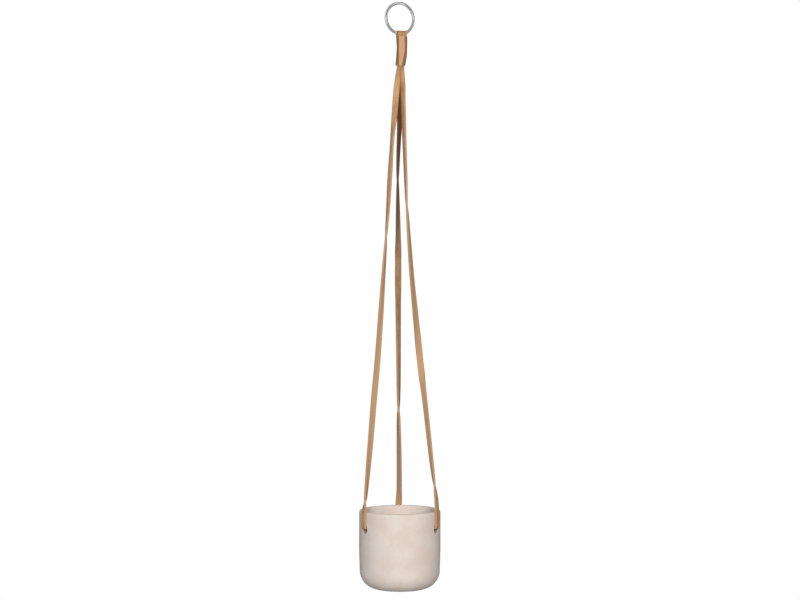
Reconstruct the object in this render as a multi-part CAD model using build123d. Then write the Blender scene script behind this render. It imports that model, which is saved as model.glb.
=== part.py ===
from build123d import *
import os
from math import cos, hypot, pi, radians, sin, sqrt

# Hanging planter: a round cement pot on leather straps that are gathered under a metal ring.
# Millimetres. Origin at the inside top of the ring, where a hook bears. +Z is up and the front is -Y.
# Azimuths are in degrees from the front (-Y) towards the right (+X).
# Two straps make the hanger. The long one is folded over the ring at its middle: its front leg
# becomes the left run and its back leg the back run. The short one is folded near its end: its
# front leg becomes the right run and its back leg is a short tail that the wrap hides.

# The hang: from the hook's bearing point down to the pot's rim.
HANG_TO_RIM = 868.0

# Welded ring of round wire, turned about the vertical away from the front.
RING_BORE = 47.5
RING_WIRE = 5.0
RING_TURN = 27.0

# Strap leather, as cut.
STRAP_WIDTH = 11.0
STRAP_THICKNESS = 3.5

# The folds over the ring: leather drawn in and pared thinner, two folds side by side.
FOLD_WIDTH = 9.4
FOLD_THICKNESS = 2.2
FOLD_SHIFT = 3.6
FOLD_FIT = 0.3
FOLD_GAP = 0.3
FOLD_DROP = 1.2

# The wrap round the straps, a tapered leather sleeve that leans to the left and bows to the right.
WRAP_LENGTH = 49.0
WRAP_BELOW_WIRE = 2.2
WRAP_TOP_WIDTH = 19.4
WRAP_TOP_DEPTH = 10.2
WRAP_FOOT_WIDTH = 17.6
WRAP_FOOT_DEPTH = 9.6
WRAP_CORNER = 4.0
WRAP_WALL = 1.5
WRAP_LEAN = 2.2
WRAP_BOW = 1.5
LEG_FIT = 0.15
LEG_GAP = 0.3
LEG_LEAD = 0.2
NECK_LEAD = 2.0
TAIL_SHORT_OF_FOOT = 14.0
BACK_NECK_SHIFT = 2.8

# The thread that closes the wrap's seam at the back.
STITCH_THREAD = 1.0
STITCH_LENGTH = 4.4
STITCH_PITCH = 6.0
STITCH_COUNT = 7
STITCH_BITE = 0.3
SEAM_SHIFT = 2.4

# The pot.
POT_DIAMETER = 140.0
POT_HEIGHT = 134.5
POT_WALL = 10.0
POT_FLOOR = 12.0
POT_RIM_ROUND = 4.6
POT_BASE_ROUND = 30.0
POT_INNER_ROUND = 22.0

# The three holes in the pot's wall. Each takes one strap, flat, under its upper edge.
HOLE_COUNT = 3
HOLE_TURN = 2.0
HOLE_DROP = 29.0
HOLE_ROOM = 3.0
HOLE_FLARE = 1.6
STRAP_FIT = 0.3
STRAP_BEND = 2.8

# The knots inside the pot.
KNOT_OVER_HOLE = 13.0
KNOT_DEPTH = 17.0
KNOT_CORNER = 5.5
KNOT_SEAT_WIDTH = 16.0
KNOT_TAIL = 24.0

# Lofted sections along a free run and along a bend.
RUN_STEPS = 44
BEND_STEPS = 5
NECK_SPREAD = 45.0

# Routes of the free runs from the wrap's foot to the pot's rim. Each point is the share of the way
# down, the bow towards the axis, the bow to the right of the outward direction, and the azimuth
# that the strap's face turns to. The bows are offsets from the straight line between the ends.
LEFT_ROUTE = [
    (0.000, 0.0, 0.0, RING_TURN), (0.023, -1.5, 0.0, 5.0), (0.045, -1.0, 0.0, -15.0),
    (0.066, -1.3, 0.0, -25.0), (0.115, -1.6, 0.0, -42.0), (0.155, -2.4, 0.0, -65.0),
    (0.190, -1.8, 0.0, -69.0), (0.225, -1.3, 0.0, -63.0), (0.265, -0.8, 0.0, -64.0),
    (0.311, 0.3, 0.0, -73.0), (0.385, 0.7, 0.0, -90.0), (0.479, 1.7, 0.0, -115.0),
    (0.546, 2.4, 0.0, -127.0), (0.663, 3.3, 0.0, -138.0), (0.748, 2.1, 0.0, -140.0),
    (0.816, 2.1, 0.0, -134.0), (0.883, 1.4, 0.0, -126.0), (0.918, 1.1, 0.0, -117.0),
    (0.966, 0.7, 0.0, -106.0), (1.000, 0.0, 0.0, -58.0),
]
RIGHT_ROUTE = [
    (0.000, 0.0, 0.0, RING_TURN), (0.023, 1.6, 0.0, -25.0), (0.045, 2.1, 0.0, -52.0),
    (0.066, 3.4, 0.0, -57.0), (0.090, 4.4, 0.0, -60.0), (0.133, 6.0, 0.0, -63.0),
    (0.174, 7.6, 0.0, -68.0), (0.214, 8.9, 0.0, -70.0), (0.254, 10.4, 0.0, -78.0),
    (0.311, 12.8, 0.0, -90.0), (0.411, 13.3, 0.0, -112.0), (0.479, 13.4, 0.0, -120.0),
    (0.580, 11.6, 0.0, -138.0), (0.663, 9.9, 0.0, -180.0), (0.715, 8.1, 0.0, -226.0),
    (0.748, 6.7, 0.0, -235.0), (0.839, 4.0, 0.0, -240.0), (0.883, 2.8, 0.0, -246.0),
    (0.928, 0.9, 0.0, -260.0), (0.951, -0.2, 0.0, -281.0), (0.973, -0.7, 0.0, -291.0),
    (1.000, 0.0, 0.0, -298.0),
]
BACK_ROUTE = [
    (0.000, 0.0, 0.0, RING_TURN - 180), (0.023, -1.6, 0.0, -140.0), (0.045, -2.6, 0.1, -131.0),
    (0.066, -2.8, 0.1, -125.0), (0.133, -2.3, -0.6, -114.0), (0.155, -2.0, 0.1, -109.0),
    (0.190, -1.5, 1.6, -101.0), (0.241, -0.8, 2.9, -90.0), (0.311, 0.0, 2.7, -71.0),
    (0.385, 0.0, 1.8, -50.0), (0.439, 0.0, 1.8, 0.0), (0.524, 0.0, 1.4, 44.0),
    (0.614, 0.0, 0.6, 55.0), (0.715, 0.0, 0.2, 65.0), (0.760, 0.0, 0.1, 76.0),
    (0.793, 0.0, 0.0, 110.0), (0.861, 0.0, -1.1, 124.0), (0.966, 0.0, -1.7, 132.0),
    (1.000, 0.0, 0.0, 182.0),
]

# Sizes that follow from the ones above.
WIRE_RADIUS = RING_WIRE / 2
RING_RADIUS = RING_BORE / 2 + WIRE_RADIUS
RING_MID_Z = -RING_BORE / 2
WIRE_LOW_Z = RING_MID_Z - RING_RADIUS
FOLD_END_Z = WIRE_LOW_Z - FOLD_DROP
FOLD_INSIDE = WIRE_RADIUS + FOLD_FIT
FOLD_OUTSIDE = FOLD_INSIDE + FOLD_THICKNESS
WRAP_TOP_Z = WIRE_LOW_Z - WIRE_RADIUS - WRAP_BELOW_WIRE
WRAP_FOOT_Z = WRAP_TOP_Z - WRAP_LENGTH
WRAP_MID_Z = (WRAP_TOP_Z + WRAP_FOOT_Z) / 2
NECK_Z = WRAP_FOOT_Z - NECK_LEAD
TAIL_END_Z = WRAP_FOOT_Z + TAIL_SHORT_OF_FOOT
WRAP_INNER_CORNER = WRAP_CORNER - WRAP_WALL
CORNER_INSET = WRAP_INNER_CORNER * (1 - sqrt(0.5))
RIM_Z = -HANG_TO_RIM
BASE_Z = RIM_Z - POT_HEIGHT
RIM_MEET_Z = RIM_Z - POT_RIM_ROUND
POT_RADIUS = POT_DIAMETER / 2
POT_INSIDE = POT_RADIUS - POT_WALL
HOLE_Z = RIM_Z - HOLE_DROP
HOLE_RADIUS = (STRAP_WIDTH + HOLE_ROOM) / 2
STRAP_TOP_IN_HOLE = sqrt((HOLE_RADIUS - STRAP_FIT) ** 2 - (STRAP_WIDTH / 2) ** 2)
STRAP_OUT_RADIUS = POT_RADIUS + STRAP_FIT + STRAP_THICKNESS / 2
BEND_RADIUS = STRAP_BEND + STRAP_THICKNESS / 2
BEND_MID_RADIUS = STRAP_OUT_RADIUS - BEND_RADIUS
BEND_MID_Z = HOLE_Z + STRAP_TOP_IN_HOLE + STRAP_BEND
KNOT_RADIUS = HOLE_RADIUS + KNOT_OVER_HOLE / 2
KNOT_SEAT_RADIUS = sqrt(POT_INSIDE ** 2 - (KNOT_SEAT_WIDTH / 2) ** 2) - STRAP_FIT

UP = Vector(0, 0, 1)
RING_SIDE = Vector(cos(radians(RING_TURN)), sin(radians(RING_TURN)), 0)
RING_BACK = UP.cross(RING_SIDE)
FOLD_STEP = FOLD_WIDTH + FOLD_GAP
BACK_LEG = (-1, 1)
HOLE_AZIMUTHS = [HOLE_TURN + (number - 0.5) * 360 / HOLE_COUNT for number in range(HOLE_COUNT)]


def outward(azimuth):
    """Horizontal unit vector at an azimuth."""
    return Vector(sin(radians(azimuth)), -cos(radians(azimuth)), 0)


def rightward(azimuth):
    """Horizontal unit vector to the right of an azimuth, seen from outside."""
    return Vector(cos(radians(azimuth)), sin(radians(azimuth)), 0)


def strip_section(centre, along, across, width, thickness):
    """Rectangle of a strap cut square to its run."""
    along = along.normalized()
    across = (across - along * across.dot(along)).normalized()
    half_width = across * (width / 2)
    half_thickness = along.cross(across) * (thickness / 2)
    corners = [centre - half_width - half_thickness, centre + half_width - half_thickness]
    corners += [centre + half_width + half_thickness, centre - half_width + half_thickness]
    return Wire.make_polygon(corners, close=True)


def between(route, share):
    """Route values at a share of the way, on the straight line between its two nearest points."""
    for before, after in zip(route, route[1:]):
        if share <= after[0]:
            part = (share - before[0]) / (after[0] - before[0])
            return [low + (high - low) * part for low, high in zip(before, after)]
    return list(route[-1])


def head_point(along_ring, back, z, foot_share=0.0):
    """Point in the gathered head: along the ring's plane, behind it, and at a height."""
    centre = RING_SIDE * (FOLD_SHIFT + along_ring) + RING_BACK * back
    to_right = WRAP_BOW * (1 - abs(2 * foot_share - 1)) - WRAP_LEAN * foot_share
    return centre + UP * z + Vector(to_right, 0, 0)


def hanging_ring():
    """Round wire ring."""
    place = Plane(origin=(0, 0, RING_MID_Z), x_dir=RING_SIDE, z_dir=-RING_BACK)
    return place * Torus(RING_RADIUS, WIRE_RADIUS)


def strap_fold(column):
    """Saddle of leather over the ring's wire; column is -1 for the left fold and 1 for the right."""
    middle = FOLD_SHIFT + column * FOLD_STEP / 2
    reach = hypot(abs(middle) + FOLD_WIDTH, RING_MID_Z - FOLD_END_Z) + FOLD_OUTSIDE
    top = RING_RADIUS
    outer = Polyline((reach, -FOLD_OUTSIDE), (top, -FOLD_OUTSIDE))
    outer += ThreePointArc((top, -FOLD_OUTSIDE), (top - FOLD_OUTSIDE, 0), (top, FOLD_OUTSIDE))
    outer += Polyline((top, FOLD_OUTSIDE), (reach, FOLD_OUTSIDE), (reach, FOLD_INSIDE), (top, FOLD_INSIDE))
    outer += ThreePointArc((top, FOLD_INSIDE), (top - FOLD_INSIDE, 0), (top, -FOLD_INSIDE))
    outer += Polyline((top, -FOLD_INSIDE), (reach, -FOLD_INSIDE), (reach, -FOLD_OUTSIDE))
    saddle = revolve(Plane.XZ * make_face(outer), axis=Axis.Z, revolution_arc=180)
    height = RING_MID_Z - FOLD_END_Z
    slab = Box(FOLD_WIDTH, height, 4 * FOLD_OUTSIDE, align=(Align.CENTER, Align.MAX, Align.CENTER))
    # The half ring is revolved on the +Y side of its own plane, so it is turned to hang below.
    cut = Rot(0, 0, 180) * saddle & Pos(middle, 0, 0) * slab
    place = Plane(origin=(0, 0, RING_MID_Z), x_dir=RING_SIDE, z_dir=-RING_BACK)
    return place * cut


def wrap_half_sizes(foot_share):
    """Half width and half depth inside the wrap, square corners, at a share of the way down."""
    width = WRAP_TOP_WIDTH + (WRAP_FOOT_WIDTH - WRAP_TOP_WIDTH) * foot_share
    depth = WRAP_TOP_DEPTH + (WRAP_FOOT_DEPTH - WRAP_TOP_DEPTH) * foot_share
    return width / 2 - WRAP_WALL, depth / 2 - WRAP_WALL


def leg_shift(column, layer, z):
    """How far the back run's leg has moved to the middle, once it is below the short strap's tail."""
    if (column, layer) != BACK_LEG:
        return 0.0
    return BACK_NECK_SHIFT * min(max((TAIL_END_Z - z) / TAIL_SHORT_OF_FOOT, 0.0), 1.0)


def leg_section(column, layer, z):
    """Section of one gathered strap inside the wrap, with its centre and its size."""
    share = min(max((WRAP_TOP_Z - z) / WRAP_LENGTH, 0.0), 1.0)
    half_width, half_depth = wrap_half_sizes(share)
    width = half_width - CORNER_INSET - LEG_FIT - LEG_GAP / 2
    thickness = half_depth - CORNER_INSET - LEG_FIT - LEG_GAP / 2
    aside = column * (width + LEG_GAP) / 2 + leg_shift(column, layer, z)
    back = layer * (thickness + LEG_GAP) / 2
    return head_point(aside, back, z, share), width, thickness


def strap_leg(column, layer, end_z):
    """Strap from its fold's end down through the wrap; column and layer are -1 or 1."""
    start = head_point(column * FOLD_STEP / 2, layer * (FOLD_INSIDE + FOLD_OUTSIDE) / 2, FOLD_END_Z)
    sections = [strip_section(start, -UP, RING_SIDE, FOLD_WIDTH, FOLD_THICKNESS)]
    turns = [z for z in (WRAP_MID_Z, TAIL_END_Z, WRAP_FOOT_Z) if z > end_z]
    for z in [WRAP_TOP_Z + LEG_LEAD, *turns, end_z]:
        centre, width, thickness = leg_section(column, layer, z)
        sections.append(strip_section(centre, -UP, RING_SIDE, width, thickness))
    return Solid.make_loft(sections, ruled=True)


def gather_wrap():
    """Tapered sleeve round the gathered straps."""
    def sleeve(inset, corner):
        rings = []
        for share in (0.0, 0.5, 1.0):
            half_width, half_depth = wrap_half_sizes(share)
            size = (2 * (half_width + WRAP_WALL - inset), 2 * (half_depth + WRAP_WALL - inset))
            origin = head_point(0, 0, WRAP_TOP_Z - WRAP_LENGTH * share, share)
            place = Plane(origin=origin, x_dir=RING_SIDE, z_dir=UP)
            rings.append(place * RectangleRounded(*size, corner))
        return loft(rings, ruled=True)

    return sleeve(0.0, WRAP_CORNER) - sleeve(WRAP_WALL, WRAP_INNER_CORNER)


def wrap_stitches():
    """Row of stitches along the seam at the back of the wrap, sunk a little into the leather."""
    stitches = []
    first_z = WRAP_TOP_Z - WRAP_LENGTH / 2 + STITCH_PITCH * (STITCH_COUNT - 1) / 2
    for number in range(STITCH_COUNT):
        z = first_z - STITCH_PITCH * number
        share = (WRAP_TOP_Z - z) / WRAP_LENGTH
        back = wrap_half_sizes(share)[1] + WRAP_WALL + STITCH_THREAD / 2 - STITCH_BITE
        spot = head_point(SEAM_SHIFT, back, z, share)
        straight = STITCH_LENGTH - STITCH_THREAD
        stitch = Cylinder(STITCH_THREAD / 2, straight) + Pos(0, 0, straight / 2) * Sphere(STITCH_THREAD / 2)
        stitch += Pos(0, 0, -straight / 2) * Sphere(STITCH_THREAD / 2)
        stitches.append(Pos(*spot) * stitch)
    return Compound(children=stitches)


def run_centres(neck, azimuth, route):
    """Centres and face azimuths down one free run."""
    meet = outward(azimuth) * STRAP_OUT_RADIUS + UP * RIM_MEET_Z
    points = []
    for step in range(RUN_STEPS + 1):
        share, inward, aside, turn = between(route, step / RUN_STEPS)
        centre = neck + (meet - neck) * share - outward(azimuth) * inward + rightward(azimuth) * aside
        points.append((centre, turn))
    return points


def strap_run(column, layer, azimuth, route):
    """Twisting strap from the wrap's foot, down the pot's wall and in through its hole."""
    neck, neck_width, neck_thickness = leg_section(column, layer, NECK_Z)
    points = run_centres(neck, azimuth, route)
    sections = []
    length = 0.0
    for index, (centre, turn) in enumerate(points):
        before = points[max(index - 1, 0)][0]
        after = points[min(index + 1, RUN_STEPS)][0]
        along = after - before if 0 < index < RUN_STEPS else -UP
        length += (centre - before).length
        spread = min(length / NECK_SPREAD, 1.0)
        width = neck_width + (STRAP_WIDTH - neck_width) * spread
        thickness = neck_thickness + (STRAP_THICKNESS - neck_thickness) * spread
        sections.append(strip_section(centre, along, rightward(turn), width, thickness))
    out, side = outward(azimuth), rightward(azimuth)
    for step in range(BEND_STEPS + 1):
        angle = pi / 2 * step / BEND_STEPS
        radius = BEND_MID_RADIUS + BEND_RADIUS * cos(angle)
        centre = out * radius + UP * (BEND_MID_Z - BEND_RADIUS * sin(angle))
        along = -UP * cos(angle) - out * sin(angle)
        sections.append(strip_section(centre, along, side, STRAP_WIDTH, STRAP_THICKNESS))
    end = out * KNOT_SEAT_RADIUS + UP * (BEND_MID_Z - BEND_RADIUS)
    sections.append(strip_section(end, -out, side, STRAP_WIDTH, STRAP_THICKNESS))
    length += RIM_MEET_Z - BEND_MID_Z + BEND_RADIUS * pi / 2 + BEND_MID_RADIUS - KNOT_SEAT_RADIUS
    return Solid.make_loft(sections, ruled=True), length


def knot_place(azimuth):
    """Plane at a knot's seat: its Z runs in towards the pot's axis, its X is level and its Y is down."""
    origin = outward(azimuth) * KNOT_SEAT_RADIUS + UP * (BEND_MID_Z - BEND_RADIUS)
    return Plane(origin=origin, x_dir=rightward(azimuth), z_dir=-outward(azimuth))


def strap_knot(azimuth):
    """Knot that stops a strap's end inside the pot, with the strap's cut end hanging from it."""
    seat = KNOT_RADIUS - KNOT_CORNER
    dome = KNOT_DEPTH - KNOT_CORNER
    slant = sqrt(0.5)
    half = Polyline((0, KNOT_DEPTH), (0, 0), (seat, 0))
    corner_mid = (seat + KNOT_CORNER * slant, KNOT_CORNER - KNOT_CORNER * slant)
    half += ThreePointArc((seat, 0), corner_mid, (KNOT_RADIUS, KNOT_CORNER))
    dome_mid = (KNOT_RADIUS * slant, KNOT_CORNER + dome * slant)
    half += ThreePointArc((KNOT_RADIUS, KNOT_CORNER), dome_mid, (0, KNOT_DEPTH))
    ball = revolve(Plane.XZ * make_face(half), axis=Axis.Z)
    tail = Pos(0, 0, KNOT_DEPTH / 2) * Box(
        STRAP_WIDTH, KNOT_RADIUS + KNOT_TAIL, STRAP_THICKNESS, align=(Align.CENTER, Align.MIN, Align.CENTER)
    )
    return knot_place(azimuth) * (ball + tail)


def pot():
    """Round-based pot with a soft rim and three strap holes."""
    standing = (Align.CENTER, Align.CENTER, Align.MIN)
    outer = Pos(0, 0, BASE_Z) * Cylinder(POT_RADIUS, POT_HEIGHT, align=standing)
    outer = fillet(outer.edges().group_by(Axis.Z)[0], POT_BASE_ROUND)
    inner = Pos(0, 0, BASE_Z + POT_FLOOR) * Cylinder(POT_INSIDE, POT_HEIGHT, align=standing)
    inner = fillet(inner.edges().group_by(Axis.Z)[0], POT_INNER_ROUND)
    body = outer - inner
    body = fillet(body.edges().group_by(Axis.Z)[-1], POT_RIM_ROUND)
    flare = POT_RADIUS - HOLE_FLARE
    slant = HOLE_FLARE * (1 - sqrt(0.5))
    start = POT_INSIDE - POT_WALL
    end = POT_RADIUS + HOLE_FLARE
    wide = HOLE_RADIUS + HOLE_FLARE
    half = Polyline((0, end), (0, start), (HOLE_RADIUS, start), (HOLE_RADIUS, flare))
    flare_mid = (HOLE_RADIUS + slant, POT_RADIUS - slant)
    half += ThreePointArc((HOLE_RADIUS, flare), flare_mid, (wide, POT_RADIUS))
    half += Polyline((wide, POT_RADIUS), (wide, end), (0, end))
    drill = revolve(Plane.XZ * make_face(half), axis=Axis.Z)
    for azimuth in HOLE_AZIMUTHS:
        place = Plane(origin=(0, 0, HOLE_Z), x_dir=rightward(azimuth), z_dir=outward(azimuth))
        body -= place * drill
    return body


def build():
    """Every node by name, with the runs' lengths."""
    left, right, back = HOLE_AZIMUTHS
    nodes = {
        "hanging_ring": hanging_ring(),
        "long_strap_fold": strap_fold(-1),
        "short_strap_fold": strap_fold(1),
        "gather_wrap": gather_wrap(),
        "wrap_stitches": wrap_stitches(),
        "left_strap_neck": strap_leg(-1, -1, NECK_Z),
        "back_strap_neck": strap_leg(*BACK_LEG, NECK_Z),
        "right_strap_neck": strap_leg(1, -1, NECK_Z),
        "short_strap_tail": strap_leg(1, 1, TAIL_END_Z),
        "left_knot": strap_knot(left),
        "right_knot": strap_knot(right),
        "back_knot": strap_knot(back),
        "pot": pot(),
    }
    lengths = {}
    runs = {
        "left_strap": (-1, -1, left, LEFT_ROUTE),
        "right_strap": (1, -1, right, RIGHT_ROUTE),
        "back_strap": (*BACK_LEG, back, BACK_ROUTE),
    }
    for name, run in runs.items():
        nodes[name], lengths[name] = strap_run(*run)
    return nodes, lengths


NODES, LENGTHS = build()
os.makedirs("parts", exist_ok=True)
for name, shape in NODES.items():
    export_step(shape, os.path.join("parts", name + ".step"))
for name, length in LENGTHS.items():
    share = NODES[name].volume / (length * STRAP_WIDTH * STRAP_THICKNESS)
    print(name, "length", round(length, 1), "volume share of section x length", round(share, 3))
print("fold arc radius inside", FOLD_INSIDE, "bend radius at the hole", STRAP_BEND)
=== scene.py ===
"""Hanging planter: a washed cement pot on twisted leather straps under a polished ring.

Everything is in metres in the model's own frame: the origin is the inside top of the ring, +Z is up
and the front is -Y. Azimuths are in degrees, from the front towards the right (+X).
"""
import logging
import math
from dataclasses import dataclass, field
from enum import Enum
from functools import partial, reduce

import bpy
import numpy as np
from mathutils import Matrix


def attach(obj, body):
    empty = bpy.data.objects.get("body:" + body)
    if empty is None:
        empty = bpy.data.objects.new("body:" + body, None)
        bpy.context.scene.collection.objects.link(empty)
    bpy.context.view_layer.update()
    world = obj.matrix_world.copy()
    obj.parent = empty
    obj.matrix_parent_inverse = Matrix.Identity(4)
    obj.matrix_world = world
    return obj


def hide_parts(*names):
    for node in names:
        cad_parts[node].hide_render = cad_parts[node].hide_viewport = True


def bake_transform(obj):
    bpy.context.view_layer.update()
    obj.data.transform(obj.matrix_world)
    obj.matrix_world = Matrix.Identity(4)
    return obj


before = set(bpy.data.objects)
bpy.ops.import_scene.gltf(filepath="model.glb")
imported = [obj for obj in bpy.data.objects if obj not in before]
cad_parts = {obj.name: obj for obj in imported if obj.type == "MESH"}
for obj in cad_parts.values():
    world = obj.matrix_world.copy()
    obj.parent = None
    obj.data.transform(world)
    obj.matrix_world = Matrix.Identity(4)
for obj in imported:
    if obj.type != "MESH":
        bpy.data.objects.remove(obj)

LOG = logging.getLogger("planter")
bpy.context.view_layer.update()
MM = 0.001
ROUND = 2 * math.pi
UP = np.array([0.0, 0.0, 1.0])
Array = np.ndarray
Values = float | Array
Pair = tuple[float, float]
Place = tuple[float, float, float]
Colour = tuple[float, float, float]
Marks = dict[str, Array]
Piece = bpy.types.Object
Material = bpy.types.Material
Socket = bpy.types.NodeSocket


def outward(azimuth: Values) -> Array:
    """Level unit vector at an azimuth."""
    a = np.radians(np.asarray(azimuth, float))
    return np.stack([np.sin(a), -np.cos(a), np.zeros_like(a)], axis=-1)


def rightward(azimuth: Values) -> Array:
    """Level unit vector to the right of an azimuth, seen from outside."""
    a = np.radians(np.asarray(azimuth, float))
    return np.stack([np.cos(a), np.sin(a), np.zeros_like(a)], axis=-1)


def angles(count: int) -> Array:
    """Even angles once round, from 0."""
    return np.linspace(0.0, ROUND, count, endpoint=False)


def ease(x: Values, low: float, high: float) -> Array:
    """Smooth step: 0 at low, 1 at high, level at both ends."""
    t = np.clip((np.asarray(x, float) - low) / (high - low), 0.0, 1.0)
    return t * t * (3.0 - 2.0 * t)


def unit(v: Array) -> Array:
    """Vectors scaled to length 1 along their last axis."""
    return v / np.linalg.norm(v, axis=-1, keepdims=True)


def between(a: Values, b: Values, share: Values) -> Values:
    """Value that is a share of the way from a to b."""
    return a + (b - a) * share


def square_to(v: Array, along: Array) -> Array:
    """Vectors turned square to a line's directions, at length 1."""
    return unit(v - np.sum(v * along, axis=1, keepdims=True) * along)


def smoothed(values: Array, reach: int) -> Array:
    """Running mean over 2 * reach + 1 values, with the ends held."""
    padded = np.pad(values, reach, mode="edge")
    return np.convolve(padded, np.ones(2 * reach + 1) / (2 * reach + 1), mode="valid")


def run_length(points: Array) -> Array:
    """Length along a line of points, starting from 0."""
    steps = np.linalg.norm(np.diff(points, axis=0), axis=1)
    return np.concatenate([[0.0], np.cumsum(steps)])


def evenly(points: Array, count: int) -> tuple[Array, Array]:
    """Walk a line of points at an even pace.

    Args:
        points: n x d places.
        count: how many places to give, with both ends.

    Returns:
        count x d places, and the length along the line at each.
    """
    gone = run_length(points)
    pace = np.linspace(0.0, gone[-1], count)
    return np.column_stack([np.interp(pace, gone, column) for column in points.T]), pace


def carried(line: Array, sides: tuple[Array, Array], section: tuple[Array, Array]) -> Array:
    """Carry a section along a line.

    Args:
        line: n x 3 places.
        sides: two n x 3 unit vectors, across the section and out of its face.
        section: two n x m offsets along them.

    Returns:
        n x m x 3 places.
    """
    offsets = (reach[..., None] * side[:, None] for side, reach in zip(sides, section))
    return line[:, None] + sum(offsets)


@dataclass(frozen=True)
class Lattice:
    """A grid of points, closed round its columns and, if a loop, round its rows.

    Args:
        points: rows x columns x 3 places.
        loop: True if the last row joins the first, as on a ring.
        capped: True if the two end rows of an open run are filled.
    """

    points: Array
    loop: bool = False
    capped: bool = True

    def faces(self, start: int = 0) -> list[list[int]]:
        """List the faces, anticlockwise from outside: one to a cell, then the two ends.

        Args:
            start: number of the lattice's first point in its mesh.

        Returns:
            The point numbers of each face.
        """
        rows, cols = self.points.shape[:2]
        here = start + np.arange(rows * cols).reshape(rows, cols)
        over, beside = np.roll(here, -1, axis=0), np.roll(here, -1, axis=1)
        cells = np.stack([here, beside, np.roll(over, -1, axis=1), over], axis=-1)
        if self.loop:
            return cells.reshape(-1, 4).tolist()
        ends = [here[0, ::-1].tolist(), here[-1].tolist()] if self.capped else []
        return cells[:-1].reshape(-1, 4).tolist() + ends

    def spread(self, mark: Array) -> Array:
        """Give a mark for every point from one by row, by column or by both."""
        return np.broadcast_to(mark, self.points.shape[:2]).ravel()

    def mesh(self, name: str, marks: Marks | None = None) -> Piece:
        """Put the lattice into a smooth mesh object; joined says what the marks are."""
        return joined(name, [self], [marks or {}])


def joined(name: str, lattices: list[Lattice], marks: list[Marks]) -> Piece:
    """Put several lattices into one smooth mesh object.

    Args:
        name: the piece's name.
        lattices: the parts of the piece.
        marks: for each part its point attributes for the finish; all parts have the same ones.

    Returns:
        The object, linked to the scene at the origin.
    """
    faces, start = [], 0
    for part in lattices:
        faces += part.faces(start)
        start += part.points[..., 0].size
    points = np.concatenate([part.points.reshape(-1, 3) for part in lattices])
    whole = {key: np.concatenate([part.spread(mark[key]) for part, mark in zip(lattices, marks)])
             for key in marks[0]}
    return solid(name, points, faces, whole)


def solid(name: str, points: Array, faces: list[list[int]], marks: Marks) -> Piece:
    """Make a smooth-shaded mesh object from points and faces.

    Args:
        name: the piece's name.
        points: n x 3 places.
        faces: point numbers of each face.
        marks: n values each, kept as point attributes for the finish.

    Returns:
        The object, linked to the scene at the origin.
    """
    data = bpy.data.meshes.new(name)
    data.from_pydata(points.tolist(), [], faces)
    shade_smooth(data)
    for key, values in marks.items():
        mark_points(data, key, values)
    data.update()
    piece = bpy.data.objects.new(name, data)
    bpy.context.scene.collection.objects.link(piece)
    return piece


def shade_smooth(data: bpy.types.Mesh) -> None:
    """Shade every face of a mesh smooth."""
    data.polygons.foreach_set("use_smooth", np.ones(len(data.polygons), bool))


def mark_points(data: bpy.types.Mesh, key: str, values: Array) -> None:
    """Keep a value for each point of a mesh as an attribute."""
    layer = data.attributes.new(key, "FLOAT", "POINT")
    layer.data.foreach_set("value", np.ascontiguousarray(values, np.float32))


def read_points(data: bpy.types.Mesh) -> Array:
    """Read the places of a mesh's points.

    Args:
        data: the mesh.

    Returns:
        n x 3 places.
    """
    flat = np.empty(len(data.vertices) * 3)
    data.vertices.foreach_get("co", flat)
    return flat.reshape(-1, 3)


def spline_points(name: str, controls: Array, steps: int) -> Array:
    """Give points along a smooth NURBS line with the given control points.

    Args:
        name: name of the curve while it exists.
        controls: n x 3 control points.
        steps: points to each span.

    Returns:
        m x 3 points from the first control point to the last.
    """
    curve = bpy.data.curves.new(name, "CURVE")
    curve.dimensions = "3D"
    curve.resolution_u = steps
    spline = curve.splines.new("NURBS")
    spline.points.add(len(controls) - 1)
    spline.points.foreach_set("co", np.column_stack([controls, np.ones(len(controls))]).ravel())
    spline.order_u = 3
    spline.use_endpoint_u = True
    holder = bpy.data.objects.new(name, curve)
    bpy.context.scene.collection.objects.link(holder)
    bpy.context.view_layer.update()
    data = bpy.data.meshes.new_from_object(holder)
    points = read_points(data)
    bpy.data.objects.remove(holder)
    bpy.data.meshes.remove(data)
    bpy.data.curves.remove(curve)
    return points


class Column(Enum):
    """Which of the two folds side by side on the ring."""

    LEFT = -1
    RIGHT = 1


class Layer(Enum):
    """Which leg of a fold: in front of the ring or behind it."""

    FRONT = -1
    BACK = 1


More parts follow.
